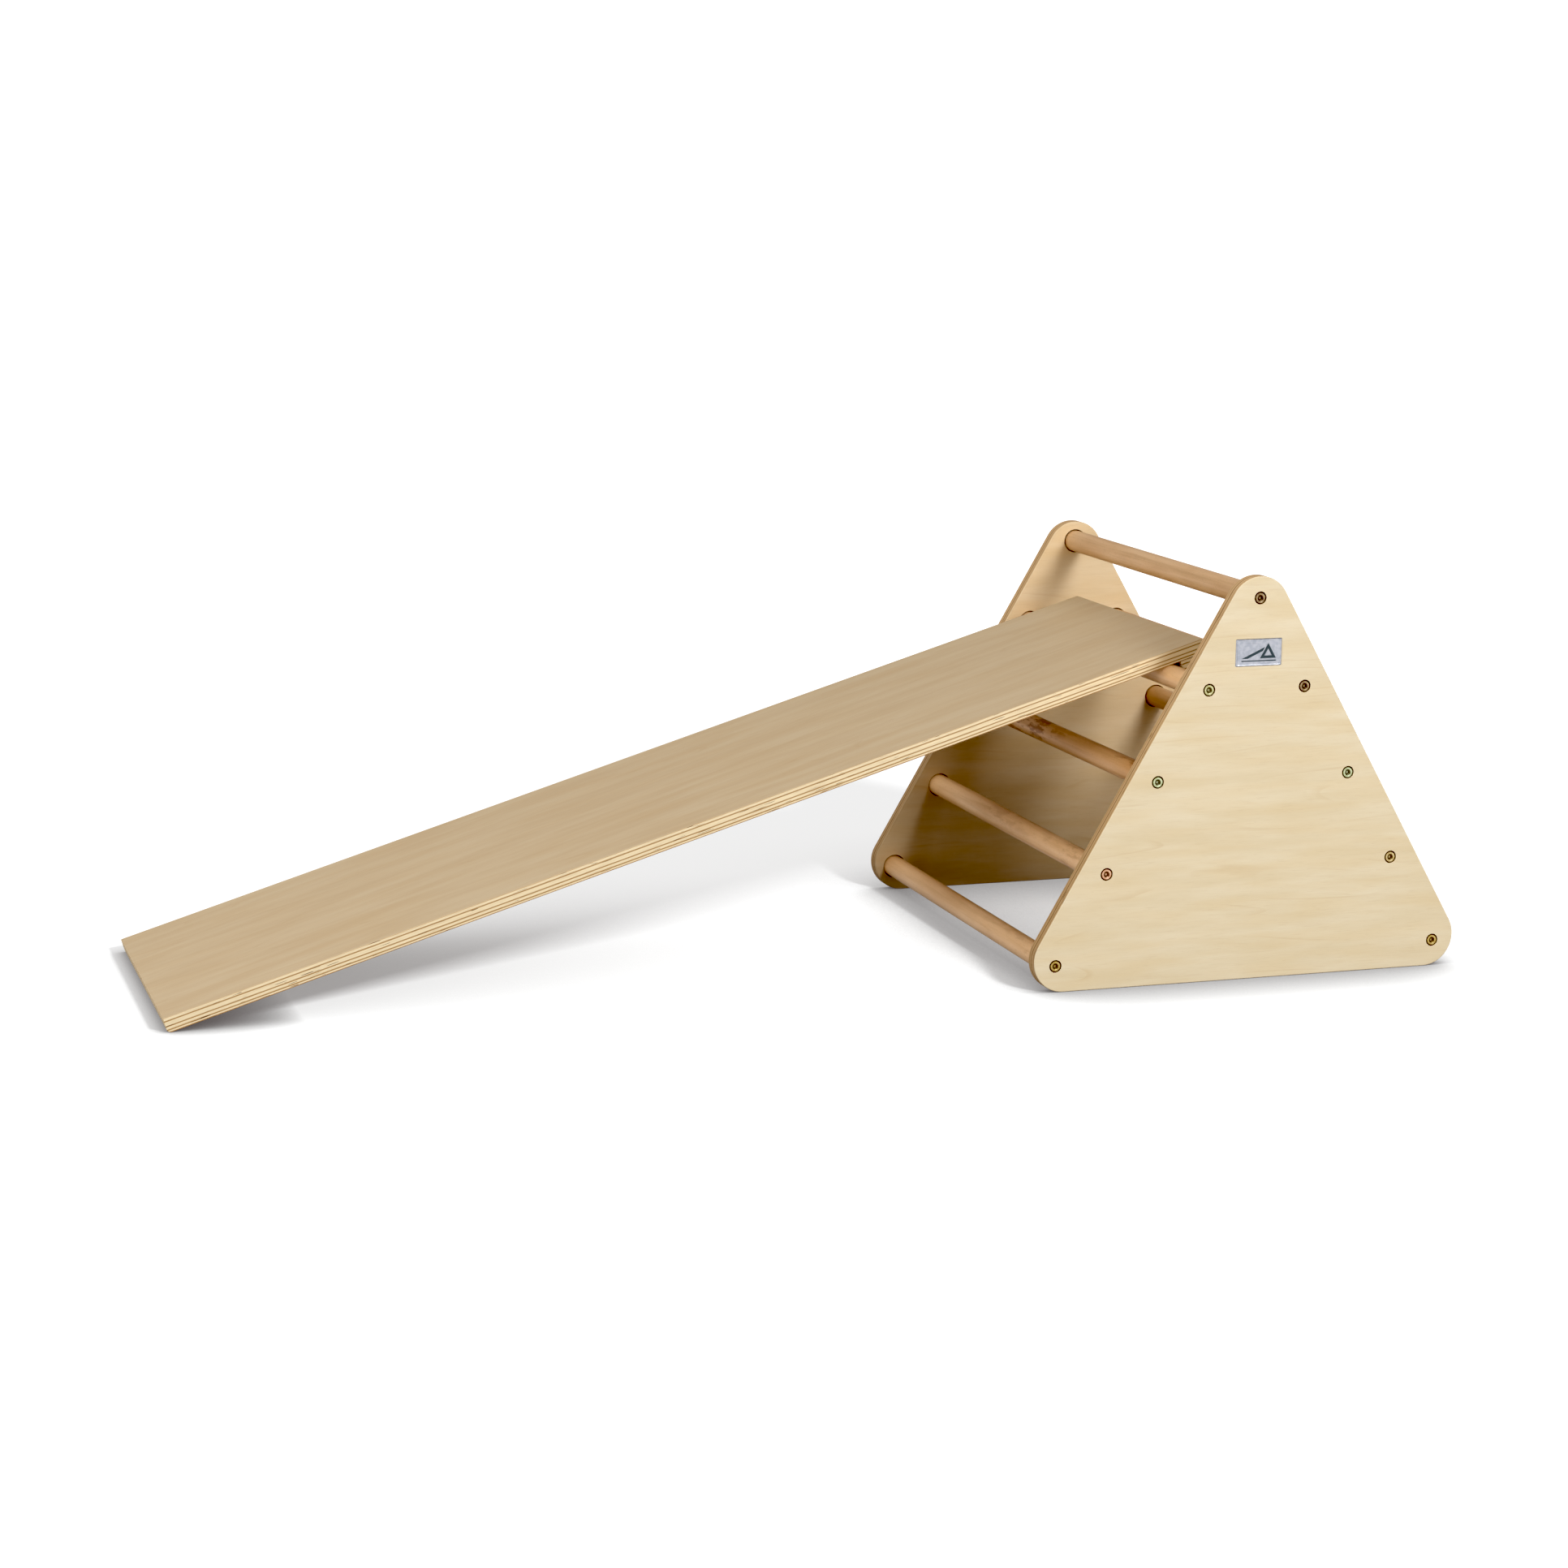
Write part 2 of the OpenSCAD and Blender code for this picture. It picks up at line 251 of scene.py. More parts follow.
def plywood(name, pale, deep, plies, thickness, veneer, figure, seed=0.0, gloss=0.3,
            grain=None, sockets=()):
    """Veneered plywood as a solid: local X is the face grain and Z the thickness from one face.
    plies lists (mm from the face, colour) for the edges; veneer is how deep the face layer goes.
    sockets are the middles of the holes with painted shade round a rung's end, on the lower face."""
    f = Finish(name, grain)
    shift = (seed, seed * 1.7, seed * 0.6)
    # The face: clouds, warmer and cooler drifts, short soft streaks, a few growth lines and fine pores
    flow = f.bent((3.5, 9, 2), 0.01, shift)
    clouds = f.noise((5, 38, 3), detail=3, rough=0.6, offset=shift, at=flow)
    warmth = f.noise((8, 54, 3), detail=2, offset=(seed + 4, 2, 5), at=flow)
    streaks = f.noise((26, 360, 3), detail=3, rough=0.65, offset=shift, at=flow)
    dashes = f.span(f.noise((34, 620, 3), detail=1, offset=(seed, 9, 1), at=flow), 0.62, 0.72)
    field = f.noise((1.6, 13, 2), detail=1, rough=0.4, offset=shift, at=flow)
    contour = f.maths("FRACT", f.maths("MULTIPLY", field, 14.0))
    lines = f.maths("MULTIPLY", f.span(contour, 0.80, 0.97), f.span(contour, 1.0, 0.975))
    patches = f.noise((6, 40, 3), detail=1, offset=(seed, 3, 7))
    lines = f.maths("MULTIPLY", lines, f.span(patches, 0.5, 0.66))
    pores = f.span(f.noise((110, 1600, 40), detail=1, offset=shift, at=flow), 0.62, 0.74)
    face = f.mix(f.span(clouds, 0.3, 0.7), pale, deep)
    face = f.mix(f.span(warmth, 0.35, 0.7, 0.0, 0.5 * figure), face, toned(deep, 1.0, 0.93, 0.80))
    face = f.mix(f.span(streaks, 0.45, 0.75, 0.0, 0.22 * figure), face, toned(deep, 0.88, 0.82, 0.74))
    face = f.mix(f.maths("MULTIPLY", dashes, 0.28 * figure), face, toned(deep, 0.82, 0.74, 0.64))
    face = f.mix(f.maths("MULTIPLY", lines, 0.45 * figure), face, toned(deep, 0.84, 0.73, 0.58))
    face = f.mix(f.maths("MULTIPLY", pores, 0.2 * figure), face, toned(deep, 0.74, 0.66, 0.58))
    # The edge: plies by depth, a little wavy, with streaks along them and a few open voids
    wave = f.noise((7, 7, 0.5), detail=1, offset=(seed, 5, 0))
    depth = f.maths("ADD", f.axis(2), f.span(wave, 0.2, 0.8, -0.25 * MM, 0.25 * MM))
    share = f.maths("DIVIDE", depth, thickness)
    edge = f.ramp(share, [(z * MM / thickness, colour) for z, colour in plies])
    fibre = f.noise((25, 25, 900), detail=3, rough=0.65, offset=shift)
    edge = f.mix(f.span(fibre, 0.4, 0.8, 0.0, 0.32), edge, srgb(150, 108, 66))
    void = f.span(f.noise((48, 48, 1100), detail=0, offset=(seed, 2, 9)), 0.76, 0.79)
    edge = f.mix(f.maths("MULTIPLY", void, 0.8), edge, srgb(84, 52, 26))
    from_face = f.maths("MINIMUM", f.axis(2), f.maths("SUBTRACT", thickness, f.axis(2)))
    on_edge = f.span(from_face, 0.75 * veneer, veneer)
    colour = f.mix(on_edge, face, edge)
    if sockets:
        flat = add(f.tree, "VectorMath", {0: f.place, 1: (1, 1, 0)}, operation="MULTIPLY").outputs[0]
        away = 1.0
        for x, y in sockets:
            gap = add(f.tree, "VectorMath", {0: flat, 1: (x, y, 0)}, operation="DISTANCE").outputs["Value"]
            away = f.maths("MINIMUM", gap, away)
        # Painted shade: the socket wall and the face just round each rung's end are darkened where the gap
        # would hold shade
        near_rung = f.span(away, GAP_SHADE_OUTER, GAP_SHADE_INNER)
        painted_gap_shade = f.maths("MULTIPLY", near_rung, f.span(f.axis(2), GAP_SHADE_END, GAP_SHADE_FULL))
        colour = f.mix(f.maths("MULTIPLY", painted_gap_shade, 0.9), colour, toned(deep, 0.10, 0.06, 0.035))
    rough = f.maths("ADD", f.span(streaks, 0.2, 0.8, 0.44, 0.54), f.maths("MULTIPLY", on_edge, 0.15))
    height = f.maths("ADD", f.maths("MULTIPLY", streaks, 0.6), f.maths("MULTIPLY", pores, -0.4))
    f.bump(height, 0.25, 0.1 * MM)
    return f.finish(colour, rough, Specular_IOR_Level=gloss)


def beech(name, pale, deep, stain, seed):
    """Turned hardwood with its grain along local X. stain is how strongly it is mottled."""
    f = Finish(name)
    shift = (seed, seed * 2.3, seed * 1.1)
    grain = f.noise((6, 160, 160), detail=4, rough=0.6, distortion=0.3, offset=shift)
    clouds = f.noise((7, 22, 22), detail=2, offset=shift)
    flecks = f.span(f.noise((220, 1300, 1300), detail=1, offset=shift), 0.63, 0.72)
    blots = f.noise((17, 60, 60), detail=4, rough=0.7, offset=shift)
    where = f.span(f.noise((4, 9, 9), detail=1, offset=(seed, 8, 4)), 0.45, 0.6)
    colour = f.mix(f.span(clouds, 0.3, 0.7), pale, deep)
    colour = f.mix(f.span(grain, 0.4, 0.75, 0.0, 0.45), colour, darker(deep, 0.72))
    colour = f.mix(f.maths("MULTIPLY", flecks, 0.3), colour, darker(deep, 0.5))
    mottle = f.maths("MULTIPLY", f.span(blots, 0.48, 0.6), where)
    colour = f.mix(f.maths("MULTIPLY", mottle, stain), colour, srgb(118, 76, 50))
    rough = f.span(grain, 0.2, 0.8, 0.38, 0.52)
    f.bump(f.maths("SUBTRACT", grain, f.maths("MULTIPLY", flecks, 0.5)), 0.25, 0.12 * MM)
    return f.finish(colour, rough, Specular_IOR_Level=0.35)


def metal(name, tint, second, rough_low, rough_high, scratch=(700, 700, 700)):
    """Plated metal with drifting tint and fine wear."""
    f = Finish(name)
    drift = f.span(f.noise((180, 180, 180), detail=2), 0.35, 0.65)
    wear = f.noise(scratch, detail=4, rough=0.7)
    colour = f.mix(drift, tint, second)
    colour = f.mix(f.span(wear, 0.55, 0.8, 0.0, 0.4), colour, darker(second, 0.55))
    f.bump(wear, 0.15, 0.05 * MM)
    return f.finish(colour, f.span(wear, 0.3, 0.7, rough_low, rough_high), Metallic=1.0)


def zinc(name, tint, second):
    """Passivated zinc on a bolt head about local X: worn flat, with painted shade towards the rim and in
    the key.
    """
    f = Finish(name)
    flat = add(f.tree, "VectorMath", {0: f.place, 1: (0, 1, 1)}, operation="MULTIPLY").outputs[0]
    away = add(f.tree, "VectorMath", {0: flat}, operation="LENGTH").outputs["Value"]
    drift = f.span(f.noise((180, 180, 180), detail=2), 0.35, 0.65)
    wear = f.noise((900, 900, 900), detail=4, rough=0.7)
    colour = f.mix(drift, tint, second)
    colour = f.mix(f.span(wear, 0.5, 0.75, 0.0, 0.5), colour, toned(second, 0.45, 0.42, 0.4))
    # Painted shade: the cone mouth, the hex key and a ring at the rim are darkened, where the head's
    # hollows and its recess would hold shade
    key = f.maths("MULTIPLY", f.span(away, 4.1 * MM, 3.3 * MM), f.span(away, 1.1 * MM, 1.9 * MM, 0.4, 0.9))
    rim = f.maths("ADD", f.span(away, 5.5 * MM, 6.4 * MM), key)
    colour = f.mix(rim, colour, toned(second, 0.10, 0.08, 0.06))
    f.bump(wear, 0.25, 0.05 * MM)
    rough = f.maths("ADD", f.span(wear, 0.3, 0.7, 0.24, 0.38), f.maths("MULTIPLY", rim, 0.15))
    return f.finish(colour, rough, Metallic=1.0)


def enamel(name, tint):
    f = Finish(name)
    grain = f.noise((900, 900, 900), detail=2)
    colour = f.mix(f.span(grain, 0.3, 0.7), tint, darker(tint, 0.8))
    f.bump(grain, 0.1, 0.05 * MM)
    return f.finish(colour, f.span(grain, 0.3, 0.7, 0.3, 0.42), Specular_IOR_Level=0.5)


# ---------------------------------------------------------------- mesh code

def angles(sides):
    return [2 * math.pi * i / sides for i in range(sides)]


def loop(bm, points):
    return [bm.verts.new(p) for p in points]


def bridge(bm, first, second):
    for i in range(len(first)):
        j = (i + 1) % len(first)
        bm.faces.new((first[i], first[j], second[j], second[i]))


def skin(bm, loops):
    """Joins loops of equal length, one after another."""
    for first, second in zip(loops, loops[1:]):
        bridge(bm, first, second)


def arc_points(centre, radius, start, end, steps):
    return [
        Vector((centre[0] + radius * math.cos(a), centre[1] + radius * math.sin(a)))
        for a in (math.radians(start + (end - start) * i / steps) for i in range(steps + 1))
    ]


def pulled_in(outline, inset):
    """A convex outline, counter-clockwise, with every side moved in by inset."""
    count = len(outline)
    made = []
    for i, point in enumerate(outline):
        before = (point - outline[i - 1]).normalized()
        after = (outline[(i + 1) % count] - point).normalized()
        first = Vector((-before.y, before.x))
        second = Vector((-after.y, after.x))
        made.append(point + (first + second) * (inset / (1 + first.dot(second))))
    return made


def cap(bm, outer, holes):
    """Fills a flat outline with holes in it."""
    loops = [outer] + holes
    flat = [v for ring in loops for v in ring]
    for triangle in tessellate_polygon([[v.co for v in ring] for ring in loops]):
        bm.faces.new([flat[i] for i in triangle])


def ease_steps(radius, steps=4):
    """(inset, height) along a quarter round that starts on a face and ends on the side."""
    return [
        (radius * (1 - math.sin(a)), radius * (1 - math.cos(a)))
        for a in (math.pi / 2 * i / steps for i in range(steps + 1))
    ]


def slab(outline, thickness, ease, holes=(), sides=48):
    """A plate from Z 0 to thickness with rounded edges. A hole is (centre, [(radius, z), ...])
    from the lower face to the upper one."""
    bm = bmesh.new()
    lower = ease_steps(ease)
    upper = [(inset, thickness - z) for inset, z in reversed(lower)]
    rings = [
        loop(bm, [(p.x, p.y, z) for p in pulled_in(outline, inset)])
        for inset, z in lower + upper
    ]
    skin(bm, rings)
    bottoms, tops = [], []
    for centre, profile in holes:
        around = [
            loop(bm, [
                (centre[0] + r * math.cos(a), centre[1] + r * math.sin(a), z)
                for a in angles(sides)
            ])
            for r, z in profile
        ]
        skin(bm, around)
        bottoms.append(around[0])
        tops.append(around[-1])
    cap(bm, rings[0], bottoms)
    cap(bm, rings[-1], tops)
    return bm


def turned(profile, sides=64):
    """A surface turned about X through (x, radius) pairs, open at both ends, and its rings."""
    bm = bmesh.new()
    rings = [
        loop(bm, [(x, r * math.cos(a), r * math.sin(a)) for a in angles(sides)])
        for x, r in profile
    ]
    skin(bm, rings)
    return bm, rings


def hex_key(bm, rim, flat, mouth_x, base_x):
    """A hex socket within the rim of a turned head. flat is half its width across the flats."""
    key = []
    for a in angles(len(rim)):
        r = flat / math.cos((a + math.pi / 6) % (math.pi / 3) - math.pi / 6)
        key.append((r * math.cos(a), r * math.sin(a)))
    mouth = loop(bm, [(mouth_x, y, z) for y, z in key])
    base = loop(bm, [(base_x, y, z) for y, z in key])
    skin(bm, [rim, mouth, base])
    bm.faces.new(base)


SHARP_ANGLE = math.radians(35)


def piece(name, bm, place, body, slot, material, nodes):
    """Turns a bmesh into a piece of the object, in place, riding on its body."""
    bmesh.ops.recalc_face_normals(bm, faces=bm.faces)
    mesh = bpy.data.meshes.new(name)
    bm.to_mesh(mesh)
    bm.free()
    for polygon in mesh.polygons:
        polygon.use_smooth = True
    mesh.set_sharp_from_angle(angle=SHARP_ANGLE)
    mesh.materials.append(material)
    made = bpy.data.objects.new(name, mesh)
    bpy.context.scene.collection.objects.link(made)
    made.matrix_world = place
    weighted = made.modifiers.new("even shading", "WEIGHTED_NORMAL")
    weighted.keep_sharp = True
    weighted.weight = 100
    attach(made, body)
    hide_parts(*nodes)
    return made


def upright(x, y, z, way):
    """Local X along the world's X, Y up, and Z outwards from the far (way 1) or near (-1) side."""
    place = Matrix(((1, 0, 0), (0, 0, way), (0, 1, 0))).to_4x4()
    place.translation = (x, y, z)
    return place


def outwards(point, way):
    """Local X along world Y times way."""
    place = Matrix(((0, -way, 0), (way, 0, 0), (0, 0, 1))).to_4x4()
    place.translation = point
    return place


# ---------------------------------------------------------------- side panels

SOCKETS = [(p.x - MIDDLE_X, p.z) for p in AXES.values()]
SOCKET_R = RUNG_R + 1.2 * MM
BOLT_HOLE_R = 3.4 * MM
RECESS_R = 7.7 * MM
RECESS_DEPTH = 2.7 * MM


def panel_outline():
    """Counter-clockwise, in metres from the rungs' middle line along X and up."""
    arc_x = (PANEL_HIGH.x - PANEL_LOW.x) / 2 - PANEL_CORNER
    top = PANEL_HIGH.z - PANEL_CORNER
    low = PANEL_CORNER + PANEL_LOW.z
    return (
        arc_points((arc_x, low), PANEL_CORNER, -90, 30, 28)
        + arc_points((0, top), PANEL_CORNER, 30, 150, 28)
        + arc_points((-arc_x, low), PANEL_CORNER, 150, 270, 28)
    )


def panel_holes():
    """Sockets on the inner face, head recesses on the outer one, and the bolt's way between."""
    socket = RUNG_END - PANEL_LOW.y
    seat = PANEL_T - RECESS_DEPTH
    ease = 0.35 * MM
    mouth = 0.3 * MM
    profile = [
        (SOCKET_R + mouth, 0), (SOCKET_R + 0.35 * mouth, 0.25 * mouth), (SOCKET_R, mouth),
        (SOCKET_R, socket), (BOLT_HOLE_R, socket), (BOLT_HOLE_R, seat), (RECESS_R, seat),
        (RECESS_R, PANEL_T - ease), (RECESS_R + 0.3 * ease, PANEL_T - 0.3 * ease),
        (RECESS_R + ease, PANEL_T),
    ]
    return [(middle, profile) for middle in SOCKETS]


PALE_PANEL = srgb(240, 225, 197)
DEEP_PANEL = srgb(232, 214, 181)
PANEL_PLIES = [
    (0, srgb(206, 172, 128)), (2.4, srgb(214, 182, 138)), (3.0, srgb(196, 160, 114)),
    (4.4, srgb(196, 160, 114)), (5.0, srgb(214, 182, 138)), (7.9, srgb(210, 176, 132)),
    (8.3, srgb(150, 112, 70)), (9.3, srgb(150, 112, 70)), (9.8, srgb(212, 180, 136)),
    (13.0, srgb(214, 182, 138)), (13.6, srgb(198, 162, 116)), (15.0, srgb(198, 162, 116)),
    (15.6, srgb(216, 184, 140)), (18, srgb(206, 172, 128)),
]
PANEL_PLIES = [(z, toned(colour, 1.08, 1.08, 1.12)) for z, colour in PANEL_PLIES]
# The far panel's copy of the wood is darker and warmer than the near one's: painted shade, standing for
# the warm shade inside the triangle
for side, way, seed, tone in (("near", -1, 0.0, (1, 1, 0.98)), ("far", 1, 3.1, (0.97, 0.89, 0.80))):
    pale, deep = toned(PALE_PANEL, *tone), toned(DEEP_PANEL, *tone)
    wood = plywood(
        f"panel_wood_{side}", pale, deep, PANEL_PLIES, PANEL_T, 0.8 * MM, 0.6, seed, sockets=SOCKETS
    )
    piece(
        f"panel_{side}", slab(panel_outline(), PANEL_T, 1.2 * MM, panel_holes()),
        upright(MIDDLE_X, way * PANEL_LOW.y, 0, way), "triangle", "panel_plywood", wood,
        [f"side_panel_{side}"],
    )


# ---------------------------------------------------------------- rungs

def rung_mesh():
    """A dowel with eased ends, bored for its threaded inserts."""
    bore_r = 5.05 * MM
    bore_end = 256.3 * MM
    ease = 0.8 * MM
    half = [(bore_end, bore_r), (RUNG_END, bore_r), (RUNG_END, RUNG_R - ease)]
    half += [(RUNG_END - inset, RUNG_R - height) for height, inset in ease_steps(ease, 3)][1:]
    half += [(RUNG_END * share, RUNG_R) for share in (0.75, 0.5, 0.25)]
    profile = half + [(0, RUNG_R)] + [(-x, r) for x, r in reversed(half)]
    bm, rings = turned(profile)
    for ring in (rings[0], rings[-1]):
        bm.faces.new(ring)
    return bm


# How strongly a rung is mottled, and its seed
RUNG_FINISHES = {
    "rung_top": (0.05, 1.0), "rung_front_1": (0.15, 2.0), "rung_front_2": (0.75, 5.2),
    "rung_front_3": (0.25, 4.1), "rung_front_4": (0.15, 6.3),
}
DARK_RUNG = (0.84, 0.76, 0.68)
for number, name in enumerate(RUNGS):
    stain, seed = RUNG_FINISHES.get(name, (0.12, 7.0 + number))
    tone = DARK_RUNG if name == "rung_front_2" else (1, 1, 1)
    pale, deep = toned(srgb(228, 190, 148), *tone), toned(srgb(214, 172, 128), *tone)
    wood = beech(f"{name}_wood", pale, deep, stain, seed)
    piece(f"{name}_dowel", rung_mesh(), outwards(AXES[name], 1), "triangle", "rung_hardwood", wood, [name])


# ---------------------------------------------------------------- bolts

def bolt_mesh():
    """A flat head with a rounded rim, a cone mouth and a hex key socket, on a plain shank.
    X points out of the head, whose top is at zero."""
    bm, rings = turned([
        (-32.4 * MM, 2.5 * MM), (-31.8 * MM, 2.95 * MM), (-2.4 * MM, 2.95 * MM),
        (-2.4 * MM, 6.9 * MM), (-2.25 * MM, 7.15 * MM), (-1.9 * MM, 7.3 * MM), (-1.1 * MM, 7.3 * MM),
        (-0.6 * MM, 7.15 * MM), (-0.25 * MM, 6.85 * MM), (-0.06 * MM, 6.4 * MM), (0, 5.9 * MM),
        (0, 4.0 * MM), (-0.06 * MM, 3.75 * MM), (-0.25 * MM, 3.5 * MM), (-0.7 * MM, 2.75 * MM),
    ], 48)
    bm.faces.new(rings[0])
    hex_key(bm, rings[-1], 2 * MM, -0.85 * MM, -2.0 * MM)
    return bm


# Each bolt gets its own tint of zinc: painted reflections of different colours in the heads, over the
# plating's own yellowish tone
ZINC = {
    "bronze": (srgb(112, 96, 74), srgb(142, 126, 102)),
    "olive": (srgb(146, 143, 106), srgb(168, 165, 130)),
    "green": (srgb(140, 147, 116), srgb(166, 171, 142)),
    "copper": (srgb(170, 131, 107), srgb(190, 157, 133)),
    "gold": (srgb(162, 140, 88), srgb(182, 161, 112)),
    "brass": (srgb(156, 138, 98), srgb(178, 161, 124)),
}
ZINC = {name: zinc(f"zinc_{name}", *tints) for name, tints in ZINC.items()}
BOLT_REFLECTION_TINTS = {
    "near": ("bronze", "olive", "green", "copper", "gold", "bronze", "green", "brass", "gold"),
    "far": ("gold", "brass", "green", "gold", "olive", "green", "brass", "copper", "gold"),
}
for side, way in (("near", -1), ("far", 1)):
    for name, tint in zip(RUNGS, BOLT_REFLECTION_TINTS[side]):
        spot = AXES[name].copy()
        spot.y = way * BOLT_FACE
        piece(
            name.replace("rung", "bolt") + "_" + side, bolt_mesh(), outwards(spot, way),
            "triangle", "bolt_zinc", ZINC[tint], [f"bolts_{side}"],
        )


# ---------------------------------------------------------------- slide board and cleat

def rounded_box(width, height, radii):
    """Counter-clockwise outline from (0, 0); radii are of the lower left, lower right, upper right
    and upper left corners."""
    a, b, c, d = radii
    return (
        arc_points((a, a), a, 180, 270, 10)
        + arc_points((width - b, b), b, 270, 360, 4)
        + arc_points((width - c, height - c), c, 0, 90, 4)
        + arc_points((d, height - d), d, 90, 180, 4)
    )


def sectioned(outline, width, ease):
    """A slab whose outline lies in X and Z, with its width along Y about the middle."""
    bm = slab(outline, width, ease)
    turn = Matrix(((1, 0, 0), (0, 0, -1), (0, 1, 0))).to_4x4()
    turn.translation = (0, width / 2, 0)
    bmesh.ops.transform(bm, matrix=turn, verts=bm.verts)
    return bm


def sloping_piece(name, bm, place, *rest):
    """A piece on the slope, with its mesh in the row frame, so that its box is exact."""
    bmesh.ops.transform(bm, matrix=place, verts=bm.verts)
    return piece(name, bm, Matrix.Identity(4), *rest)


PALE_BOARD = srgb(212, 191, 158)
DEEP_BOARD = srgb(205, 181, 146)
LIGHT_PLY = srgb(254, 234, 196)
DARK_PLY = srgb(186, 150, 104)
BOARD_PLIES = [
    (0, srgb(196, 150, 100)), (0.9, srgb(196, 150, 100)), (1.4, LIGHT_PLY), (2.6, LIGHT_PLY),
    (3.1, DARK_PLY), (4.0, DARK_PLY), (4.6, LIGHT_PLY), (6.9, LIGHT_PLY), (7.4, DARK_PLY),
    (8.3, DARK_PLY), (8.8, LIGHT_PLY), (12.9, LIGHT_PLY), (13.4, DARK_PLY), (14.3, DARK_PLY),
    (14.9, LIGHT_PLY), (17.1, LIGHT_PLY), (17.5, srgb(204, 166, 120)), (18, srgb(204, 166, 120)),
]
BOARD_WOOD = plywood(
    "board_wood", PALE_BOARD, DEEP_BOARD, BOARD_PLIES, BOARD_T, 0.45 * MM, 0.4, 6.4, 0.25, BOARD
)
sloping_piece(
    "board",
    sectioned(rounded_box(BOARD_L, BOARD_T, (5 * MM, 0.8 * MM, 0.8 * MM, 0.8 * MM)), BOARD_W, 0.8 * MM),
    BOARD, "slide", "board_plywood", BOARD_WOOD, ["slide_board"],
)


CLEAT_T = 18 * MM
HEAD_DOWN = Matrix(((0, 0, 1), (0, 1, 0), (-1, 0, 0))).to_4x4()


def cleat():
    """The strip under the board's upper end, countersunk for its screws."""
    low = min(p.dot(BOARD.col[0].xyz) for p in node_points("hook_cleat"))
    start = low - BOARD.translation.dot(BOARD.col[0].xyz)
    length = BOARD_L - start
    thick = CLEAT_T
    half = BOARD_W / 2
    outline = [Vector(p) for p in ((0, -half), (length, -half), (length, half), (0, half))]
    screw_r = 2.05 * MM
    sink = [(4.4 * MM, 0), (4.05 * MM, 0.25 * MM), (screw_r, 2.4 * MM), (screw_r, thick)]
    spots = [(length / 2, y) for y in screw_places()]
    place = BOARD @ Matrix.Translation((start, 0, -thick))
    wood = plywood(
        "cleat_wood", PALE_PANEL, DEEP_PANEL, BOARD_PLIES, thick, 0.45 * MM, 0.6, 9.2, 0.3, place
    )
    sloping_piece(
        "cleat", slab(outline, thick, 0.8 * MM, [(spot, sink) for spot in spots], 32),
        place, "slide", "board_plywood", wood, ["hook_cleat"],
    )
    steel = metal("screw_steel", srgb(196, 198, 200), srgb(176, 178, 182), 0.22, 0.34)
    for number, spot in enumerate(spots):
        stand = place @ Matrix.Translation((spot[0], spot[1], 0)) @ HEAD_DOWN
        piece(f"cleat_screw_{number + 1}", screw_mesh(), stand, "slide", "steel", steel, ["cleat_screws"])


def screw_places():
    """Middles of the screws across the board, from the CAD node's loose solids."""
    points = sorted(p.y for p in node_points("cleat_screws"))
    groups = [[points[0]]]
    for y in points[1:]:
        if y - groups[-1][-1] > 15 * MM:
            groups.append([])
        groups[-1].append(y)
    return [(g[0] + g[-1]) / 2 - BOARD.translation.y for g in groups]


def screw_mesh():
    """A countersunk wood screw with a hex drive; X points out of its head, whose top is at zero."""
    core, crest = 1.5 * MM, 1.98 * MM
    profile = [(-30 * MM, 0.25 * MM), (-27 * MM, core)]
    for turn in range(12):
        x = -26 * MM + turn * 1.8 * MM
        profile += [(x, 1.45 * MM), (x + 0.7 * MM, core), (x + 0.9 * MM, crest), (x + 1.1 * MM, core)]
    profile += [
        (-3 * MM, crest), (-2.2 * MM, 2.0 * MM), (-0.35 * MM, 3.8 * MM), (-0.1 * MM, 3.98 * MM),
        (-0.05 * MM, 3.9 * MM), (-0.05 * MM, 1.6 * MM),
    ]
    bm, rings = turned(profile, 36)
    bm.faces.new(rings[0])
    hex_key(bm, rings[-1], 1.2 * MM, -0.15 * MM, -1.4 * MM)
    return bm


cleat()


# ---------------------------------------------------------------- badge

def rounded_rectangle(width, height, radius, steps=6):
    x, y = width / 2 - radius, height / 2 - radius
    return (
        arc_points((x, -y), radius, -90, 0, steps) + arc_points((x, y), radius, 0, 90, steps)
        + arc_points((-x, y), radius, 90, 180, steps) + arc_points((-x, -y), radius, 180, 270, steps)
    )


BADGE_CORNER = 1.2 * MM
LEAST_CORNER = 0.35 * MM


def badge():
    """A plate with a bevelled rim about a sunken field. Returns where it stands."""
    low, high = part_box("badge_plate")
    middle = (low + high) / 2
    thick = high.y - low.y
    bm = bmesh.new()
    profile = [
        (0.15 * MM, 0), (0, 0.15 * MM), (0, thick - 1.0 * MM), (0.3 * MM, thick - 0.5 * MM),
        (0.8 * MM, thick - 0.08 * MM), (1.1 * MM, thick), (1.4 * MM, thick - 0.06 * MM),
        (2.1 * MM, thick - 0.36 * MM), (2.35 * MM, thick - 0.4 * MM),
    ]

    def inset(amount):
        return rounded_rectangle(
            high.x - low.x - 2 * amount, high.z - low.z - 2 * amount,
            max(BADGE_CORNER - amount, LEAST_CORNER),
        )

    rings = [loop(bm, [(p.x, p.y, z) for p in inset(amount)]) for amount, z in profile]
    skin(bm, rings)
    bm.faces.new(rings[0])
    bm.faces.new(rings[-1])
    silver = metal("badge_silver", srgb(150, 152, 158), srgb(136, 140, 147), 0.3, 0.42, (40, 900, 900))
    place = upright(middle.x, high.y, middle.z, -1)
    piece("badge_plate_rimmed", bm, place, "triangle", "badge_silver", silver, ["badge_plate"])
    return place


BADGE = badge()


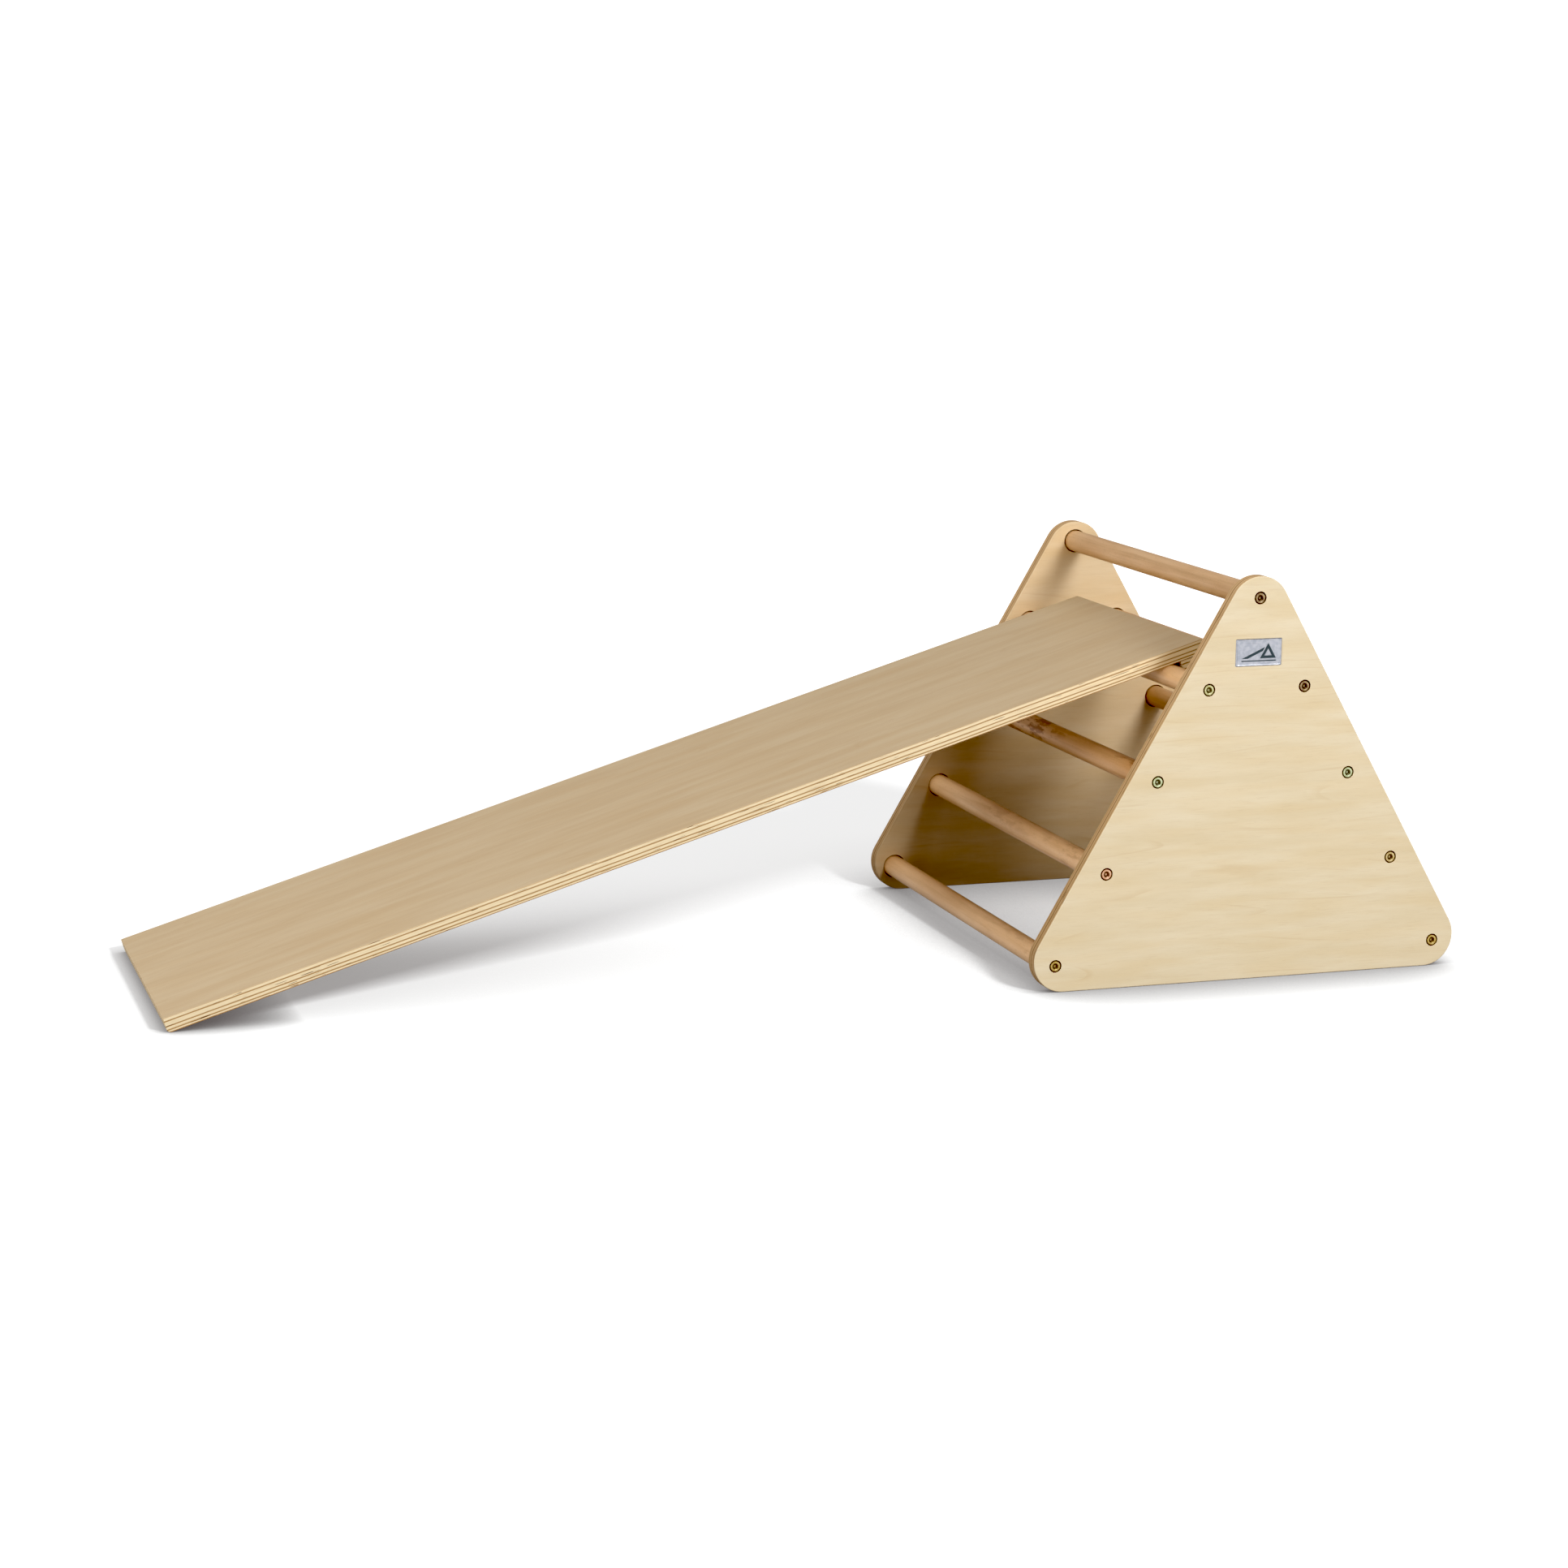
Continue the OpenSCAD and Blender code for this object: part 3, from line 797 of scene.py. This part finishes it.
def badge_icon():
    """The CAD motif's own outlines, given rounded upper edges."""
    node = frame["nodes"]["badge_icon"]
    low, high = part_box("badge_icon")
    bm = bmesh.new()
    bm.from_mesh(node.data)
    bmesh.ops.remove_doubles(bm, verts=bm.verts, dist=1e-6)
    bmesh.ops.dissolve_limit(bm, angle_limit=math.radians(1), verts=bm.verts, edges=bm.edges)
    proud = low.y + 0.5 * (high.y - low.y)
    rim = [e for e in bm.edges if all(v.co.y < proud for v in e.verts)]
    bmesh.ops.bevel(bm, geom=rim, offset=0.14 * MM, segments=3, profile=0.5, affect="EDGES")
    bmesh.ops.transform(bm, matrix=BADGE.inverted(), verts=bm.verts)
    teal = enamel("badge_teal", srgb(6, 50, 58))
    piece("badge_motif", bm, BADGE, "triangle", "badge_enamel", teal, ["badge_icon"])


badge_icon()

INSERT_STEEL = metal("insert_steel", srgb(190, 190, 188), srgb(172, 172, 170), 0.3, 0.42)
for name in ("inserts_near", "inserts_far"):
    node = frame["nodes"][name]
    node.data.materials.clear()
    node.data.materials.append(INSERT_STEEL)


# ---------------------------------------------------------------- floor and light

SKY = 0.45
MIDDLE = (0.1, 0, 0.2)


def make_floor():
    """A disc just under the object, which glows a little and is shaded near what stands on it."""
    bm = bmesh.new()
    rings = [
        loop(bm, [(r * math.cos(a), r * math.sin(a), -0.1 * MM) for a in angles(64)])
        for r in (0.5, 1, 2, 4, 8, 16, 40)
    ]
    skin(bm, rings)
    bm.faces.new(rings[0])
    mesh = bpy.data.meshes.new("floor")
    bm.to_mesh(mesh)
    bm.free()
    floor = bpy.data.objects.new("floor", mesh)
    bpy.context.scene.collection.objects.link(floor)
    f = Finish("floor_white")
    f.shader.inputs["Roughness"].default_value = 0.9
    f.shader.inputs["Specular IOR Level"].default_value = 0
    # The direct light fades out where the object stands, further out from the triangle than from
    # the board, and the rest follows how open the sky is
    reach = f.span(f.axis(0), 0.05, 0.25, 0.045, 0.15)
    near = add(f.tree, "AmbientOcclusion", {"Distance": reach}, samples=8).outputs["AO"]
    direct = f.maths("MULTIPLY", f.maths("POWER", near, 3.0), 0.3)
    f.tree.links.new(direct, f.shader.inputs["Base Color"])
    sky = add(f.tree, "AmbientOcclusion", {"Distance": 0.35}, samples=8).outputs["AO"]
    away = add(f.tree, "VectorMath", {0: f.place}, operation="LENGTH").outputs["Value"]
    glow = f.maths("MULTIPLY_ADD", sky, 0.42, f.maths("MULTIPLY_ADD", near, 0.22, 0.1))
    glow = f.maths("ADD", glow, f.span(away, 1.2, 3.0, 0.0, 0.4))
    f.tree.links.new(glow, f.shader.inputs["Emission Strength"])
    f.shader.inputs["Emission Color"].default_value = (1, 1, 1, 1)
    mesh.materials.append(f.material)
    floor.visible_diffuse = False


def make_world():
    world = bpy.data.worlds.new("studio")
    bpy.context.scene.world = world
    world.use_nodes = True
    tree = world.node_tree
    tree.nodes.clear()
    way = add(tree, "TexCoord").outputs["Generated"]
    height = add(tree, "SeparateXYZ", {0: way}).outputs[2]
    level = add(tree, "MapRange", {
        "Value": height, "From Min": -0.04, "From Max": 0.02, "To Min": 0.04, "To Max": SKY,
    }).outputs[0]
    soft = add(tree, "Background", {"Color": (1, 1, 1, 1), "Strength": level})
    white = add(tree, "Background", {"Color": (1, 1, 1, 1), "Strength": 1.2})
    seen = add(tree, "LightPath").outputs["Is Camera Ray"]
    both = add(tree, "MixShader", {0: seen, 1: soft.outputs[0], 2: white.outputs[0]})
    add(tree, "OutputWorld", {"Surface": both.outputs[0]})


def make_light(name, towards, travel, distance, size, power):
    """A square white light that shines along travel at the point towards."""
    data = bpy.data.lights.new(name, "AREA")
    data.shape = "SQUARE"
    data.size = size
    data.energy = power
    light = bpy.data.objects.new(name, data)
    travel = Vector(travel).normalized()
    light.location = Vector(towards) - travel * distance
    light.rotation_mode = "QUATERNION"
    light.rotation_quaternion = travel.to_track_quat("-Z", "Y")
    bpy.context.scene.collection.objects.link(light)
    return light


def light_only(light, names):
    """The light reaches only these objects."""
    chosen = bpy.data.collections.new(light.name + "_lit")
    for name in names:
        chosen.objects.link(bpy.data.objects[name])
    light.light_linking.receiver_collection = chosen
    return chosen


def light_all_but(light, name):
    """The light reaches everything except this object."""
    light_only(light, [name]).collection_objects[0].light_linking.link_state = "EXCLUDE"


make_floor()
make_world()
for light in (
    make_light("key_low", MIDDLE, (-0.24, 1, -0.34), 4.0, 0.9, 19),
    make_light("key_high", MIDDLE, (-0.34, 1, -0.50), 4.0, 0.9, 71),
    make_light("fill_left", MIDDLE, (0.85, 0.5, -0.25), 3.5, 1.5, 37),
    make_light("fill_behind", MIDDLE, (0.7, -0.35, -0.65), 3.5, 2.0, 24),
):
    light_all_but(light, "floor")
under_board = make_light("fill_rungs", MIDDLE, (0.8, 0.45, -0.3), 3.5, 1.5, 48)
fronts = [f"rung_front_{step}_dowel" for step in (1, 2, 3, 4)]
under_board.light_linking.blocker_collection = light_only(under_board, fronts)
light_only(make_light("key_floor", MIDDLE, (-0.3, 1, -0.62), 4.0, 0.5, 500), ["floor"])
view = bpy.context.scene.view_settings
view.view_transform = "Standard"
view.use_curve_mapping = True
view.curve_mapping.black_level = (0.034, 0.05, 0.053)
